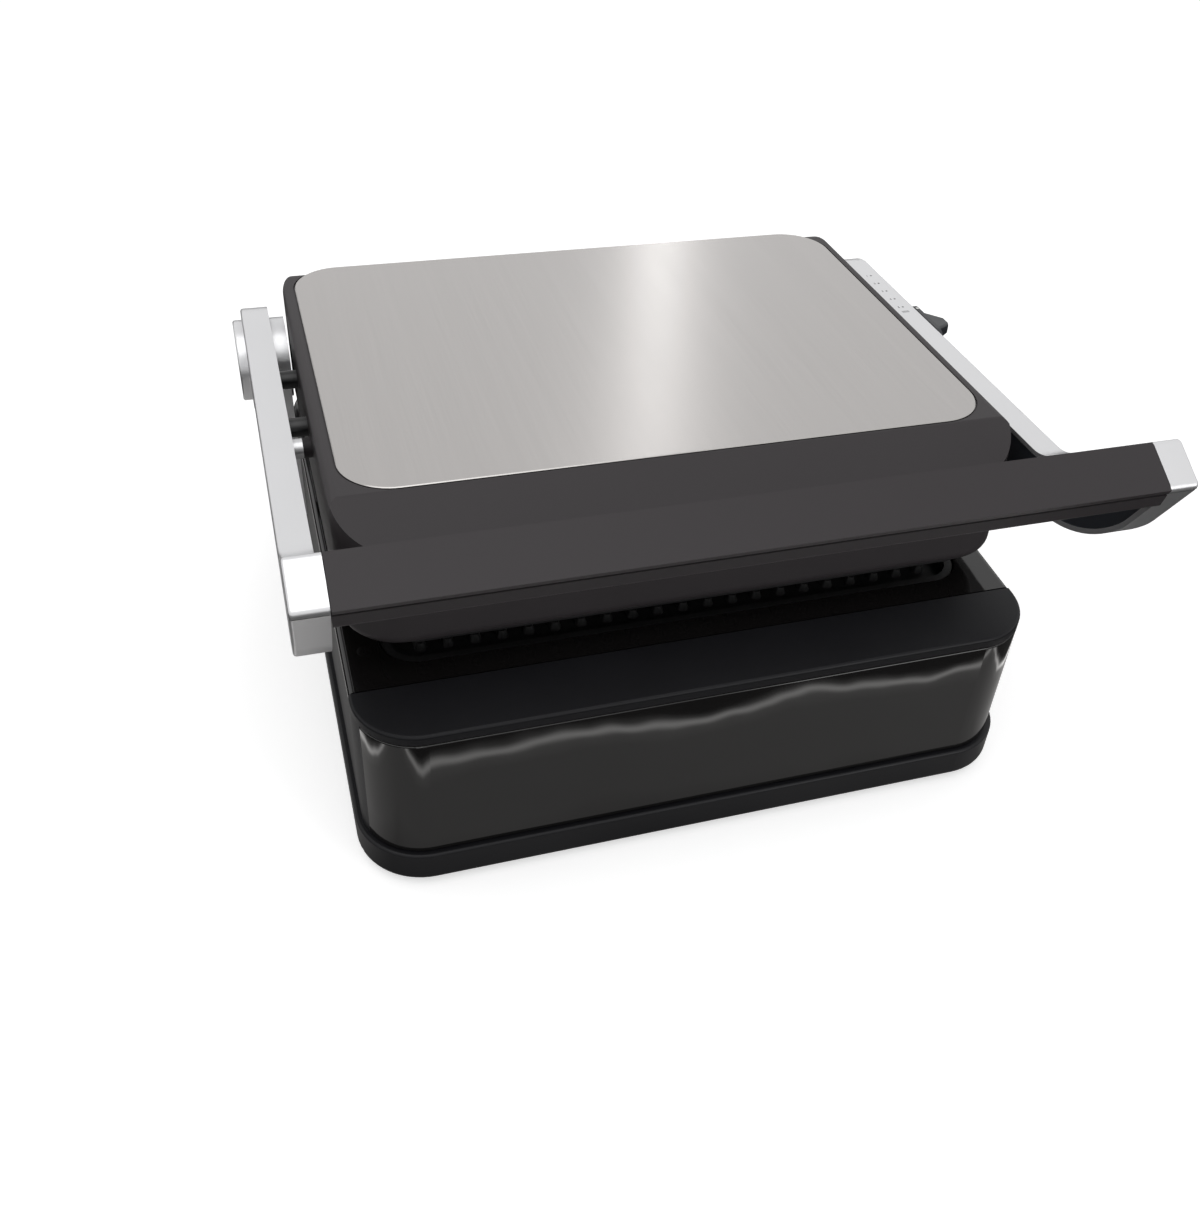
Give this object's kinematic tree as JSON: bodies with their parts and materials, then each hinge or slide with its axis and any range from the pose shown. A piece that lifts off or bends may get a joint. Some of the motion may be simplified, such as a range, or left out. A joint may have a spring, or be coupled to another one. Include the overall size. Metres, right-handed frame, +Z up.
{
  "type": "contact grill",
  "caption": "Contact grill with a boxy base, ribbed plates, a jointed arm frame with a cross handle, a tilting lid, a height slider and a drip tray.",
  "frame": {"origin": "on the table under the middle of the base, midway between its sides and between its front and back walls", "axes": "+X to the viewer's right, +Y to the back where the hinge is, +Z up"},
  "size_m": [0.395, 0.3448, 0.2221],
  "materials": {
    "black_plastic": "matte",
    "charcoal_plastic": "satin",
    "gloss_black": "gloss",
    "rubber": "matte",
    "grill_plate": "dark non-stick coating",
    "element_steel": "oxidised",
    "sheet_steel": "plain sheet",
    "circuit_board": "satin",
    "screw_steel": "plain",
    "satin_silver": "satin silver",
    "brushed_steel": "brushed front to back"
  },
  "bodies": {
    "base": {"bottom_cover": "black_plastic", "rubber_feet": "rubber", "base_housing": "black_plastic", "front_panel": "gloss_black", "front_strip": "black_plastic", "top_frame": "gloss_black", "lower_grill_plate": "grill_plate", "lower_element": "element_steel", "lower_reflector": "sheet_steel", "lower_sensor": "element_steel", "drain_chute": "sheet_steel", "tray_runners": "black_plastic", "control_board": "circuit_board", "power_board": "circuit_board", "cord_gland": "rubber", "corner_posts": "black_plastic", "base_screws": "screw_steel", "right_hinge_bracket": "satin_silver", "left_hinge_bracket": "satin_silver", "bracket_screws": "screw_steel", "hinge_pins": "screw_steel"},
    "arm_frame": {"right_arm": "satin_silver", "left_arm": "satin_silver", "right_arm_cover": "charcoal_plastic", "left_arm_cover": "charcoal_plastic", "right_end_cap": "satin_silver", "left_end_cap": "satin_silver", "right_hinge_cap": "satin_silver", "left_hinge_cap": "satin_silver", "handle_upper_cover": "charcoal_plastic", "handle_lower_cover": "charcoal_plastic", "handle_rod": "screw_steel", "handle_screws": "screw_steel", "pivot_pins": "screw_steel"},
    "lid": {"lid_housing": "charcoal_plastic", "lid_steel_plate": "brushed_steel", "lid_skirt": "charcoal_plastic", "lid_posts": "black_plastic", "lid_screws": "screw_steel", "upper_grill_plate": "grill_plate", "upper_element": "element_steel", "upper_reflector": "sheet_steel", "upper_sensor": "element_steel", "guide_pins": "screw_steel"},
    "height_slider": {"height_slider": "black_plastic"},
    "drip_tray": {"drip_tray": "black_plastic"}
  },
  "joints": [
    {"name": "arm_hinge", "type": "hinge", "parent": "base", "child": "arm_frame", "pos_m": [0, 0.128, 0.129], "axis": [-1, 0, 0], "range_deg": [0, 95]},
    {"name": "lid_tilt", "type": "hinge", "parent": "arm_frame", "child": "lid", "pos_m": [0, 0.00801, 0.1476], "axis": [1, 0, 0], "range_deg": [0, 4]},
    {"name": "height_slide", "type": "slide", "parent": "arm_frame", "child": "height_slider", "axis": [0, 0.9986, -0.0523], "range_m": [0, 0.044]},
    {"name": "tray_slide", "type": "slide", "parent": "base", "child": "drip_tray", "axis": [0, 1, 0], "range_m": [0, 0.09]}
  ]
}
